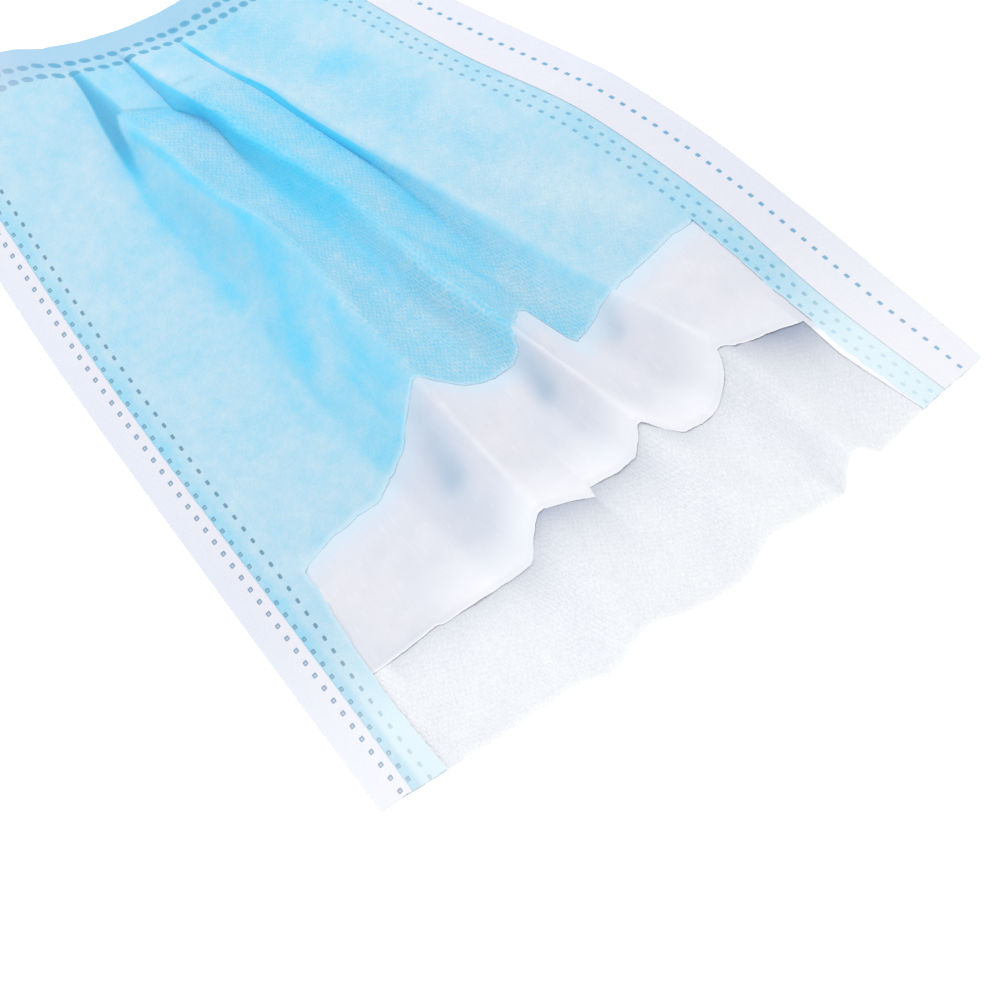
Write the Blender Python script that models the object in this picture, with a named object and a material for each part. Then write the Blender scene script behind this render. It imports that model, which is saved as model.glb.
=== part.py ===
"""Three-ply disposable face mask, cut open at one end so that its pleats fan out.

Lengths are in millimetres until a mesh is made. +X runs along the mask from the
welded end to the cut end, +Y across it to the wide hem, +Z up from the table.
"""

import math

import bmesh
import bpy
from mathutils import Matrix, Vector

MM = 0.001

# Plies and the clear space between neighbours
PLY_THICKNESS = 1.1
PLY_GAP = 0.3

# The inner ply is folded over on itself along both long edges. The step where the
# fold ends, and where the plies above begin, are parts of a band's width.
HEM_THICKNESS = 2 * PLY_THICKNESS
HEM_STEP = 0.03
HEM_CLEARANCE = 0.08

# Rows of faces. All plies share those before MIDDLE, a place along the mask, so
# that they stay parallel there. Each then has its own, on to its tear and cut end.
MIDDLE = 22
SHARED_ROWS = 15
INNER_ROWS = 10
FILTER_ROWS = (6, 4)
OUTER_ROWS = (2, 8)

# Places along the mask at which the lines below are given
STATIONS = (-94, -73, -53, -23, 7, 37, 62, 94)

# Lines that run along the mask: place across it and height of its underside at
# the stations. A pleat is a foot line, where its wall rises, and a ridge line.
LINES = (
    # left edge
    ((-36.5, -40.4, -44.6, -51.2, -56.6, -61.5, -65.8, -71.3),
     (0, 0, 0, 0, 0, 0, 0, 0)),
    # inner side of the left hem
    ((-30.5, -33.9, -38.4, -45.0, -50.5, -55.4, -59.5, -65.2),
     (0, 0, 0, 0, 0, 0, 0, 0)),
    # inner side of the left band
    ((-21.0, -25.5, -30.0, -36.5, -42.0, -47.0, -52.5, -57.3),
     (0, 0, 0, 0, 0, 0, 0, 0)),
    # foot of the first pleat
    ((-5.0, -5.7, -12.3, -17.0, -21.0, -24.5, -25.0, -26.0),
     (0, 0, 0, 0, 0, 0, 0, 0.7)),
    # first ridge
    ((-4.5, -5.2, -8.0, -8.4, -9.2, -11.2, -13.0, -15.3),
     (0, 1.2, 5.7, 8.4, 9.0, 8.5, 7.5, 6.7)),
    # foot of the second pleat
    ((5.3, 4.6, 2.1, 2.3, 3.0, 4.0, 5.5, 5.5),
     (0, 0.8, 2.5, 4.8, 5.6, 5.2, 3.8, 1.5)),
    # second ridge
    ((5.7, 5.0, 4.4, 6.0, 6.5, 9.5, 11.8, 13.5),
     (0, 1.5, 6.5, 10.1, 11.2, 10.6, 8.9, 6.5)),
    # foot of the third pleat
    ((14.6, 14.3, 14.3, 17.4, 18.0, 18.0, 25.0, 31.7),
     (0, 1.0, 3.4, 5.9, 6.4, 5.7, 4.0, 1.5)),
    # third ridge
    ((15.0, 14.8, 15.6, 18.8, 21.4, 27.0, 32.8, 34.1),
     (0, 1.5, 4.2, 8.0, 10.5, 11.0, 11.0, 10.0)),
    # slack behind the third ridge
    ((20.0, 20.0, 21.0, 24.5, 28.0, 34.0, 39.0, 40.0),
     (0, 1.0, 3.0, 7.0, 9.5, 9.5, 8.0, 5.0)),
    # inner side of the right band
    ((37.5, 38.7, 40.5, 41.8, 46.5, 48.8, 49.8, 52.7),
     (0, 0.5, 2.8, 8.7, 12.0, 11.3, 8.5, 5.5)),
    # inner side of the right hem
    ((43.0, 44.5, 46.3, 47.6, 52.3, 54.7, 55.3, 58.4),
     (0, 0.3, 2.3, 8.0, 12.0, 11.3, 8.5, 4.7)),
    # right edge
    ((53.5, 55.4, 56.4, 59.3, 64.2, 67.0, 68.6, 70.8),
     (0, 0, 1.6, 6.5, 10.5, 9.6, 6.0, 0)),
)
LEFT_EDGE = 0
LEFT_HEM = 1
RIGHT_HEM = 11
RIGHT_EDGE = 12

# Ends of the plies as (column, place along). A column counts the lines above from
# the left edge, and 3.5 is halfway between line 3 and line 4.
WELDED_END = (
    (0, -92.8), (1, -92.2), (2, -90.7), (2.6, -89.4), (3, -84.6), (5, -79.6),
    (7, -76.7), (9, -74.8), (12, -72.8),
)
OUTER_TEAR = (
    (2, 38.5), (2.35, 38.5), (2.7, 37.6), (3, 36.6), (3.35, 33.8), (3.75, 29),
    (4, 27), (4.35, 31.2), (4.7, 33.6), (5, 34), (5.5, 35), (6, 32.4),
    (6.86, 25.5), (6.95, 37.5), (7.3, 38.7), (8, 38), (9, 35.2), (9.4, 34.7),
    (10, 35.9),
)
FILTER_TEAR = (
    (1.8, 63.5), (2.3, 63.6), (2.55, 63.5), (2.8, 64.6), (3.4, 67), (3.8, 62.8),
    (4.05, 62.1), (4.6, 64.5), (4.9, 63), (5.3, 63.5), (5.97, 60.5), (6.1, 61),
    (6.45, 66), (7, 65.5), (7.3, 64.4), (7.7, 62.4), (7.95, 59.9), (8.25, 60.3),
    (9.2, 61.7), (9.86, 64),
)
CUT_END = (
    (0, 84.1), (2, 85.5), (2.4, 87.2), (2.65, 88.2), (2.87, 88.9), (3.1, 91.3),
    (3.64, 91.1), (4, 90.6), (4.3, 92.2), (4.75, 92.8), (5.1, 93.1), (5.6, 92.1),
    (6, 91.6), (6.4, 91.7), (7, 92.4), (7.8, 90.5), (8.3, 90.6), (8.9, 92.3),
    (9.3, 92.2), (10, 91.2), (11, 90.4), (12, 88),
)

# Colour, roughness and sheen of the plies
OUTER_BLUE = ((0.42, 0.76, 0.93, 1.0), 0.85, 0.3)
FILTER_WHITE = ((0.86, 0.86, 0.91, 1.0), 0.6, 0.1)
INNER_WHITE = ((0.81, 0.82, 0.86, 1.0), 0.9, 0.2)


def clear_scene():
    """Remove every object and leave one empty scene."""
    for obj in list(bpy.data.objects):
        bpy.data.objects.remove(obj, do_unlink=True)


def new_collection(name):
    """Return a new collection linked to the scene."""
    collection = bpy.data.collections.new(name)
    bpy.context.scene.collection.children.link(collection)
    return collection


def fabric_material(name, look):
    """Return a plain cloth-like Principled BSDF material."""
    colour, roughness, sheen = look
    material = bpy.data.materials.new(name)
    material.use_nodes = True
    shader = material.node_tree.nodes["Principled BSDF"]
    shader.inputs["Base Color"].default_value = colour
    shader.inputs["Roughness"].default_value = roughness
    shader.inputs["Sheen Weight"].default_value = sheen
    material.diffuse_color = colour
    return material


def tangent(values, index):
    """Slope of the curve through the stations at one of them."""
    last = len(STATIONS) - 1
    if index in (0, last):
        near = min(index, last - 1)
        return (values[near + 1] - values[near]) / (STATIONS[near + 1] - STATIONS[near])
    before = STATIONS[index] - STATIONS[index - 1]
    after = STATIONS[index + 1] - STATIONS[index]
    slope_before = (values[index] - values[index - 1]) / before
    slope_after = (values[index + 1] - values[index]) / after
    return (slope_before * after + slope_after * before) / (before + after)


def smooth_value(values, x):
    """Value at x on the smooth curve that passes through the values at the stations."""
    x = min(max(x, STATIONS[0]), STATIONS[-1])
    index = 0
    while index < len(STATIONS) - 2 and x > STATIONS[index + 1]:
        index += 1
    span = STATIONS[index + 1] - STATIONS[index]
    t = (x - STATIONS[index]) / span
    start = (1 + 2 * t) * (1 - t) ** 2 * values[index]
    leave = t * (1 - t) ** 2 * span * tangent(values, index)
    end = t * t * (3 - 2 * t) * values[index + 1]
    arrive = t * t * (t - 1) * span * tangent(values, index + 1)
    return start + leave + end + arrive


def line_point(line, x):
    """Place across and height of one of the lines at x."""
    across, height = LINES[line]
    return smooth_value(across, x), smooth_value(height, x)


def panel_normal(line, x):
    """Unit normal, in the cross-section at x, of the panel that starts at a line."""
    y0, z0 = line_point(line, x)
    y1, z1 = line_point(line + 1, x)
    length = math.hypot(y1 - y0, z1 - z0)
    return (z0 - z1) / length, (y1 - y0) / length


def lifted_line_point(line, x, lift):
    """Point of a line at x when the folded sheet is raised square to its panels."""
    y, z = line_point(line, x)
    beside = [panel_normal(panel, x) for panel in (line - 1, line)
              if LEFT_EDGE <= panel < RIGHT_EDGE]
    (first_y, first_z), (last_y, last_z) = beside[0], beside[-1]
    spread = 1 + first_y * last_y + first_z * last_z
    return (y + lift * (first_y + last_y) / spread,
            z + lift * (first_z + last_z) / spread)


def sheet_point(column, x, lift):
    """Point of the folded sheet, raised square to its panels by lift."""
    panel = min(int(column), RIGHT_EDGE - 1)
    part = column - panel
    y0, z0 = lifted_line_point(panel, x, lift)
    y1, z1 = lifted_line_point(panel + 1, x, lift)
    return x, y0 + part * (y1 - y0), z0 + part * (z1 - z0)


def outline_value(outline, column):
    """Place along the mask of an end outline at a column."""
    for (c0, x0), (c1, x1) in zip(outline, outline[1:]):
        if column <= c1:
            return x0 + (x1 - x0) * max(column - c0, 0) / (c1 - c0)
    return outline[-1][1]


def columns_for(outline, first, last):
    """Columns of faces: all the fold lines and the corners of both ends."""
    corners = {column for column, _ in WELDED_END + outline}
    wanted = corners | set(range(RIGHT_EDGE))
    return sorted({column for column in wanted if first < column < last} | {first, last})


def spread_evenly(start, end, count):
    """Places after start, in count equal steps to end."""
    return [start + (end - start) * step / count for step in range(1, count + 1)]


def row_places(column, stretches):
    """Places along the mask of a column's rows, on through stretches of (end, rows)."""
    start = outline_value(WELDED_END, column)
    places = [start] + spread_evenly(start, MIDDLE, SHARED_ROWS)
    for end, rows in stretches:
        places += spread_evenly(places[-1], outline_value(end, column), rows)
    return places


def solid_sheet(columns, places, lift_of, name, material, collection):
    """Make a closed sheet.

    places gives, for each column, where its rows are. Neighbouring columns share
    the rows that both have. lift_of gives a column's (lower, upper) lift.
    """
    mesh = bmesh.new()
    layers = []
    for side in (0, 1):
        layer = []
        for column in columns:
            lift = lift_of(column)[side]
            layer.append([
                mesh.verts.new([MM * value for value in sheet_point(column, x, lift)])
                for x in places[column]
            ])
        layers.append(layer)
    lower, upper = layers
    rim = set()
    for i in range(len(columns) - 1):
        for j in range(min(len(upper[i]), len(upper[i + 1])) - 1):
            corners = ((i, j), (i, j + 1), (i + 1, j + 1), (i + 1, j))
            for half in (corners[:3], corners[2:] + corners[:1]):
                mesh.faces.new([lower[a][b] for a, b in half])
                mesh.faces.new([upper[a][b] for a, b in reversed(half)])
            for start, end in zip(corners, corners[1:] + corners[:1]):
                if (end, start) in rim:
                    rim.remove((end, start))
                else:
                    rim.add((start, end))
    for (a, b), (c, d) in sorted(rim):
        mesh.faces.new([lower[c][d], lower[a][b], upper[a][b], upper[c][d]])
    bmesh.ops.recalc_face_normals(mesh, faces=mesh.faces)
    data = bpy.data.meshes.new(name)
    mesh.to_mesh(data)
    mesh.free()
    data.materials.append(material)
    obj = bpy.data.objects.new(name, data)
    collection.objects.link(obj)
    return obj


def build_inner(collection):
    """Inner ply: the whole sheet, with its long edges folded over."""
    columns = columns_for(CUT_END, LEFT_EDGE, RIGHT_EDGE)
    columns = sorted({LEFT_HEM + HEM_STEP, RIGHT_HEM - HEM_STEP}.union(columns))
    places = {column: row_places(column, [(CUT_END, INNER_ROWS)]) for column in columns}

    def lift_of(column):
        in_hem = column <= LEFT_HEM or column >= RIGHT_HEM
        return 0, HEM_THICKNESS if in_hem else PLY_THICKNESS

    material = fabric_material("inner white", INNER_WHITE)
    return solid_sheet(columns, places, lift_of, "inner_ply", material, collection)


def build_torn_ply(name, level, tear, rows, material, collection):
    """A ply level places above the inner one, torn back between two long bands."""
    columns = columns_for(tear, LEFT_HEM + HEM_CLEARANCE, RIGHT_HEM - HEM_CLEARANCE)
    left_band_side = tear[0][0]
    right_band_side = tear[-1][0]
    to_tear = (tear, rows[0])
    to_cut_end = (CUT_END, rows[1])
    places = {}
    for column in columns:
        torn = left_band_side < column < right_band_side
        stretches = [to_tear] if torn else [to_tear, to_cut_end]
        places[column] = row_places(column, stretches)
    bottom = level * (PLY_THICKNESS + PLY_GAP)

    def lift_of(_column):
        return bottom, bottom + PLY_THICKNESS

    return solid_sheet(columns, places, lift_of, name, material, collection)


def centre_on_table(objects):
    """Move the meshes so that the middle of their bounding box's base is the origin."""
    points = [vertex.co for obj in objects for vertex in obj.data.vertices]
    low = Vector([min(point[axis] for point in points) for axis in range(3)])
    high = Vector([max(point[axis] for point in points) for axis in range(3)])
    base = Vector(((low.x + high.x) / 2, (low.y + high.y) / 2, low.z))
    for obj in objects:
        obj.data.transform(Matrix.Translation(-base))


def main():
    """Build the mask."""
    clear_scene()
    mask = new_collection("disposable face mask")
    filter_white = fabric_material("filter white", FILTER_WHITE)
    outer_blue = fabric_material("outer blue", OUTER_BLUE)
    centre_on_table([
        build_inner(mask),
        build_torn_ply("filter_ply", 1, FILTER_TEAR, FILTER_ROWS, filter_white, mask),
        build_torn_ply("outer_ply", 2, OUTER_TEAR, OUTER_ROWS, outer_blue, mask),
    ])


main()
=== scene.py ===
"""Looks for the cut-open three-ply face mask: thin folded sheets, weld dots, light and camera."""

import math

import bmesh
import bpy
import numpy as np
from mathutils import Matrix, Vector


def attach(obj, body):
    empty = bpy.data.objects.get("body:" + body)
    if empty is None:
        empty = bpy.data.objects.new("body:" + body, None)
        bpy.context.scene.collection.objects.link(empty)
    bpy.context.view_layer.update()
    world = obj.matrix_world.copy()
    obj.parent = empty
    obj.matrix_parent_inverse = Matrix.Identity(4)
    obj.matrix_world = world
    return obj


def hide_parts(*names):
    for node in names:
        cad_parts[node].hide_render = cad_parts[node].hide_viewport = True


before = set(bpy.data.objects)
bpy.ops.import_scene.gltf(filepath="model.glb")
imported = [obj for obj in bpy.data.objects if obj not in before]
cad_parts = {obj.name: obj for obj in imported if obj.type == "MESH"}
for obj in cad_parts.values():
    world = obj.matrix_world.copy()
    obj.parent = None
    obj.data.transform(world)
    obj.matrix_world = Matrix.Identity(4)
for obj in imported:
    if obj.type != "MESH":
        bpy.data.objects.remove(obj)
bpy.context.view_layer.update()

MM = 0.001
# The lines below are given in the frame of the table, in mm. Less BASE they are in the CAD frame.
BASE = np.array([0.15, 0.7461, 0.0])

# ==== The folded sheet: lines that run along the mask, as (stations along, places across, heights) ====
# A column is a place across the cloth: a whole one is a line, 2.5 is halfway from line 2 to line 3.
WIDE = (-94, -73, -53, -23, 7, 37, 62, 94)
FLAT = (0,) * len(WIDE)
LINES = (
    # 0 edge of the narrow hem, 1 its inner side, 2 inner side of the band beside it
    (WIDE, (-36.5, -40.4, -44.6, -51.1, -56.6, -61.8, -66.05, -71.2), FLAT),
    (WIDE, (-30.5, -33.9, -38.4, -45.0, -50.5, -55.4, -59.5, -65.2), FLAT),
    (WIDE, (-21.0, -25.5, -30.0, -36.5, -42.0, -47.0, -52.5, -57.3), FLAT),
    # first pleat: 3 foot, 4 ridge
    ((-94, -77, -70, -62.7, -55.5, -49, -40.6, -32, -21, -8, 7, 37, 62, 94),
     (-6.0, -5.6, -6.6, -8.8, -10.8, -12.3, -14.8, -16.1, -16.9, -18.3, -21, -24.5, -25, -26),
     (0, 0, 0, 0, 0, 0, 0, 0, 0, 0, 0, 0, 0, 0.7)),
    ((-94, -77, -73.5, -68, -59, -52.5, -44.5, -35.5, -28, -20, -9, 2, 12, 24, 37, 50, 62, 94),
     (-4.7, -4.7, -4.9, -5.7, -7.2, -8.0, -7.6, -8.4, -8.4, -7.1, -6.7, -7.5, -8.9, -9.7, -10.8, -11.8, -13.0, -15.3),
     (0.05, 0.1, 0.9, 2.2, 4.4, 5.8, 6.9, 7.7, 8.2, 8.6, 8.9, 9.0, 9.0, 8.8, 8.5, 8.0, 7.5, 6.7)),
    # second pleat: 5 foot, 6 ridge
    ((-94, -73, -69.6, -63.2, -57.4, -52.7, -50, -47, -44, -40.8, -34.4, -27, -19, -11, 7, 37, 62, 94),
     (4.6, 4.6, 4.6, 3.7, 2.9, 2.3, 3.7, 5.2, 5.0, 4.6, 3.5, 2.7, 2.4, 2.5, 3.1, 4.0, 5.5, 5.5),
     (0, 0.05, 0.5, 1.4, 2.1, 2.5, 2.7, 3.0, 3.3, 3.5, 4.1, 4.6, 5.0, 5.3, 5.6, 5.2, 3.8, 1.5)),
    ((-94, -74, -71, -66, -61.6, -54, -48, -42.7, -36.7, -32.3, -26, -18.7, -12.3, -5.2, 2, 15.6, 33, 60.5, 94),
     (5.4, 5.2, 5.0, 4.5, 4.1, 4.1, 4.8, 5.2, 4.7, 5.1, 6.0, 7.1, 7.8, 7.7, 7.5, 6.9, 8.9, 11.8, 13.5),
     (0.05, 0.1, 1.3, 3.0, 4.3, 6.3, 7.4, 8.2, 8.9, 9.3, 9.9, 10.4, 10.7, 11.0, 11.1, 11.2, 10.8, 9.0, 6.5)),
    # third pleat: 7 foot, 8 ridge
    ((-94, -71, -66.7, -60, -53.3, -42.8, -31.9, -19.6, -12.9, -5.5, 2, 9.4, 19.7, 25.9, 39.3, 65.1, 94),
     (14.2, 14.3, 14.4, 14.5, 14.7, 16.1, 17.0, 18.1, 18.7, 18.3, 18.2, 18.0, 17.6, 17.2, 17.8, 26.2, 31.7),
     (0, 0, 0.8, 2.2, 3.3, 4.5, 5.5, 6.1, 6.3, 6.4, 6.4, 6.4, 6.3, 6.1, 5.6, 3.8, 1.5)),
    ((-94, -70.5, -67.5, -64, -60, -52.5, -43.6, -33.6, -23.8, -14.5, -5.6, 2.4, 14.2, 25.8, 37.9, 59.3, 94),
     (15.2, 15.2, 15.2, 15.1, 15.0, 15.4, 16.9, 17.3, 18.2, 19.3, 20.5, 21.3, 22.6, 24.1, 27.2, 32.4, 34.1),
     (0.05, 0.1, 1.0, 2.3, 3.2, 4.3, 5.6, 6.8, 7.9, 8.9, 9.7, 10.2, 10.8, 10.9, 11.0, 11.0, 10.0)),
    # 9 slack behind the third ridge, 10 inner side of the other band, 11 inner side of the wide hem, 12 its edge
    (WIDE, (20.0, 20.0, 21.0, 24.5, 28.0, 34.0, 39.0, 40.0), (0.6, 1.2, 3.0, 7.0, 9.5, 9.5, 8.0, 5.0)),
    (WIDE, (37.5, 38.7, 40.5, 41.8, 46.5, 48.8, 49.8, 52.7), (0, 0.5, 2.8, 8.7, 12.0, 11.3, 8.5, 5.5)),
    (WIDE, (43.0, 44.5, 46.3, 47.6, 52.3, 54.7, 55.3, 58.4), (0, 0.3, 2.3, 8.0, 12.0, 11.3, 8.5, 4.7)),
    ((-94, -73, -53, -28, -12, 4, 20, 36, 44, 52, 68, 84, 94),
     (53.5, 55.4, 56.8, 59.62, 61.8, 63.91, 65.57, 66.5, 66.89, 67.62, 68.9, 70.43, 71.1),
     (0.0, 0.0, 1.6, 5.7, 8.37, 10.43, 10.33, 9.66, 8.92, 7.71, 4.97, 1.93, 0.0)),
)
FEET, RIDGES = (3, 5, 7), (4, 6, 8)
# How far from each line its fold is rounded, in mm, at the stations in ROUND_X
ROUND_X = (-60, -40, -10, 25, 62, 80)
ROUND = ((0,) * 6, (5,) * 6, (5,) * 6, (1.8, 2.4, 3, 3, 3, 5), (0.5, 0.8, 0.8, 0.7, 1.2, 4),
         (0.8, 2.4, 4, 4, 4, 5), (0.6, 0.9, 1.0, 0.7, 1.2, 4), (0.8, 1.8, 3, 3, 3, 5),
         (0.5, 0.7, 0.8, 0.7, 1.2, 4), (3,) * 6, (4,) * 6, (4,) * 6, (0,) * 6)
LAST = len(LINES) - 1

# Where the sheet and its plies end along the mask, as (column, place)
WELDED_END = ((0, -93.2), (1, -92.8), (2, -91.5), (2.5, -90.4), (2.8, -87.7), (3, -84.5), (3.6, -84.1), (4, -84.0),
              (4.3, -82.45), (4.6, -80.9), (5, -79.5), (5.5, -79.4), (6, -79.15), (6.3, -78.2), (6.6, -77.5),
              (7, -76.8), (8, -76.6), (8.3, -76.0), (8.6, -75.7), (9, -75.25), (10, -74.4), (12, -73.0))
OUTER_TEAR = ((2, 40.0), (2.08, 38.9), (2.32, 38.2), (2.61, 37.8), (2.8, 37.8), (3.06, 35.8), (3.37, 34.2),
              (3.7, 30.6), (3.96, 27.4), (4.02, 27.4), (4.15, 29.6), (4.44, 33.3), (4.78, 35.0), (5.36, 36.0),
              (5.69, 35.4), (5.96, 33.0), (6.06, 31.8), (6.62, 28.0), (6.8, 28.8), (6.87, 39.4), (7.38, 39.3),
              (7.65, 38.3), (8.0, 38.1), (9.12, 36.5), (9.49, 36.2), (10, 36.3))
FILTER_TEAR = ((1.8, 62.8), (1.97, 63.3), (2.2, 63.7), (2.52, 63.7), (2.54, 64.2), (2.76, 64.7), (3.0, 65.4),
               (3.26, 66.5), (3.47, 67.2), (3.52, 67.0), (3.62, 65.8), (3.73, 64.5), (3.89, 62.9), (3.98, 62.2),
               (4.04, 62.2), (4.3, 63.3), (4.45, 64.2), (4.575, 65.2), (4.595, 62.9),
               (4.77, 63.2), (4.95, 63.8), (5.4, 64.2), (5.78, 62.5), (5.95, 61.1), (6.0, 61.1), (6.06, 63.0),
               (6.32, 66.7), (6.64, 66.8), (6.95, 66.1), (7.21, 65.5), (7.5, 64.5), (7.78, 62.8), (7.96, 59.8),
               (8.23, 61.0), (8.88, 61.3), (9.26, 62.0), (9.51, 63.0), (9.86, 64.4))
CUT_END = ((0, 84.2), (1, 84.85), (2, 85.7), (2.4, 87.45), (2.65, 88.3), (2.87, 88.7), (3.1, 91.6), (3.3, 91.8),
           (3.64, 91.3), (4, 90.7), (4.3, 92.6), (4.75, 93.4), (5.1, 93.6), (5.6, 92.45), (6, 91.95), (6.4, 92.3),
           (7, 92.9), (7.4, 92.0), (7.8, 91.1), (8.05, 90.6), (8.3, 90.7), (8.6, 92.1), (8.9, 92.55), (9.3, 92.1),
           (9.6, 91.8), (10, 91.2), (11, 90.45), (11.5, 89.5), (12, 88.2))


def smoothstep(a, b, v):
    """0 up to a and 1 from b on, smooth between them."""
    t = np.clip((np.asarray(v, float) - a) / (b - a), 0, 1)
    return t * t * (3 - 2 * t)


def bump(v, centre, half):
    """1 at centre, smoothly 0 beyond half."""
    return 1 - smoothstep(0, half, np.abs(np.asarray(v, float) - centre))


def window(v, a, b, c, d):
    """Smoothly from 0 at a to 1 at b, and from 1 at c back to 0 at d."""
    return smoothstep(a, b, v) * (1 - smoothstep(c, d, v))


def bell(distance, half):
    """1 on a line, fading on both sides of it."""
    return np.exp(-(distance / half) ** 2)


def hermite(stations, values, x, level=False):
    """Smooth curve through the values at the stations; a level one never runs past its neighbours."""
    xs, v = np.array(stations, float), np.array(values, float)
    x = np.clip(x, xs[0], xs[-1])
    i = np.clip(np.searchsorted(xs, x) - 1, 0, len(xs) - 2)
    h = np.diff(xs)
    d = np.diff(v) / h
    m = np.empty(len(xs))
    m[0], m[-1] = d[0], d[-1]
    m[1:-1] = (d[:-1] * h[1:] + d[1:] * h[:-1]) / (h[:-1] + h[1:])
    if level:
        most = 2 * np.minimum(np.abs(d[:-1]), np.abs(d[1:])) * (d[:-1] * d[1:] > 0)
        m[1:-1] = np.clip(m[1:-1], -most, most)
    t = (x - xs[i]) / h[i]
    return ((1 + 2 * t) * (1 - t) ** 2 * v[i] + t * (1 - t) ** 2 * h[i] * m[i]
            + t * t * (3 - 2 * t) * v[i + 1] + t * t * (t - 1) * h[i] * m[i + 1])


def outline(table, u):
    """Place along the mask of a drawn edge at column u."""
    return np.interp(u, [c for c, _ in table], [x for _, x in table])


class Noise:
    """Smooth seeded value noise in two dimensions, from -1 to 1."""

    def __init__(self, seed):
        self.grid = np.random.RandomState(seed).uniform(-1, 1, (64, 64))

    def __call__(self, a, b):
        a, b = np.asarray(a, float), np.asarray(b, float)
        i, j = np.floor(a).astype(int), np.floor(b).astype(int)
        s, t = a - i, b - j
        s, t = s * s * (3 - 2 * s), t * t * (3 - 2 * t)
        g = self.grid
        i0, i1, j0, j1 = i % 64, (i + 1) % 64, j % 64, (j + 1) % 64
        return ((g[i0, j0] * (1 - s) + g[i1, j0] * s) * (1 - t)
                + (g[i0, j1] * (1 - s) + g[i1, j1] * s) * t)


# ==== Shape of the folded sheet ====
n_slow, n_mid, n_fine, n_edge, n_lift = Noise(3), Noise(5), Noise(7), Noise(11), Noise(13)


def section(u, x, crisp=1.0):
    """Place, unit normal and arc length at column u of the cross-section at x; a small crisp sharpens the ridges."""
    ys = np.stack([hermite(s, y, x) for s, y, _ in LINES], -1)
    zs = np.stack([hermite(s, z, x, True) for s, _, z in LINES], -1)
    dy, dz = np.diff(ys), np.diff(zs)
    length = np.maximum(np.hypot(dy, dz), 1e-6)
    dy, dz = dy / length, dz / length
    start = np.concatenate([np.zeros(len(x))[:, None], np.cumsum(length, -1)], -1)
    k = np.clip(np.floor(u).astype(int), 0, LAST - 1)
    rows = np.arange(len(x))
    s = start[rows, k] + (u - k) * length[rows, k]
    y = ys[:, 0] + dy[:, 0] * s
    z = zs[:, 0] + dz[:, 0] * s
    ty, tz = dy[:, 0].copy(), dz[:, 0].copy()
    for line in range(1, LAST):
        wanted = np.interp(x, ROUND_X, ROUND[line]) * (crisp if line in RIDGES else 1.0)
        r = np.minimum(wanted, 0.45 * np.minimum(length[:, line - 1], length[:, line]))
        t = s - start[:, line]
        inside = (t + r) ** 2 / (4 * np.maximum(r, 1e-6))
        relu = np.where(t >= r, t, np.where(t <= -r, 0.0, inside))
        step = np.clip((t + r) / (2 * np.maximum(r, 1e-6)), 0, 1)
        ay, az = dy[:, line] - dy[:, line - 1], dz[:, line] - dz[:, line - 1]
        y, z = y + ay * relu, z + az * relu
        ty, tz = ty + ay * step, tz + az * step
    size = np.hypot(ty, tz)
    return y, z, -tz / size, ty / size, s


def near(line, x, s):
    """Distance in mm on the flat sheet from a line given as (column, place) points, and how far along it, 0 to 1."""
    u0, x0 = np.array(line, float).T
    s0 = section(u0, x0)[4]
    reach = np.concatenate([[0], np.cumsum(np.hypot(np.diff(x0), np.diff(s0)))])
    best, along = np.full(len(x), 1e9), np.zeros(len(x))
    for k in range(len(x0) - 1):
        ax, as_ = x0[k + 1] - x0[k], s0[k + 1] - s0[k]
        size = ax * ax + as_ * as_
        t = np.clip(((x - x0[k]) * ax + (s - s0[k]) * as_) / size, 0, 1)
        d = np.hypot(x - x0[k] - t * ax, s - s0[k] - t * as_)
        closer = d < best
        best = np.where(closer, d, best)
        along = np.where(closer, (reach[k] + t * (reach[k + 1] - reach[k])) / reach[-1], along)
    return best, along


# Soft folds that the cloth took by handling: line, half width and height in mm
FOLDS = (
    (((3.97, -24), (3.91, -16), (3.72, -11), (3.44, -5), (3.1, 1), (3.1, 8), (3.0, 18)), 2.6, 0.8),
    (((3.97, 1), (3.82, 9.8), (3.73, 16.2), (3.8, 28), (3.7, 40)), 1.8, 0.5),
    (((3.5, -36), (3.35, -22), (3.2, -8)), 3.0, -0.5),
    (((3.53, 12), (3.53, 21), (3.55, 31), (3.6, 44)), 1.6, 0.35),
    (((6.3, 8), (6.5, 17.8), (6.83, 27.2)), 1.6, 0.35),
    (((2.6, -60), (2.75, -40), (2.8, -15)), 3.5, 0.5),
    (((8.6, -50), (8.8, -20), (8.7, 10)), 4.0, 0.4),
    (((9.3, -40), (9.2, -10), (9.35, 20)), 3.0, -0.35),
)
# Where the pressed ends of two pleats stop: columns and places of the step, and its height
FLAPS = (((4.0, 5.3), (-58.5, -51.8), 0.28), ((6.0, 6.5), (-55.5, -55.3), 0.2))
FLAP_SINK = 0.12  # of the cloth just past the step
# Swells of the cloth: noise, height, length across and length along
SWELLS = ((n_slow, 0.3, 17, 31), (n_mid, 0.16, 7, 16))
SLACK = 0.25
# Panels from one line to the next that sag between them, and how far
SAGS = ((4, 5, 0.5), (6, 7, 0.4), (2, 3, -0.2))


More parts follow.
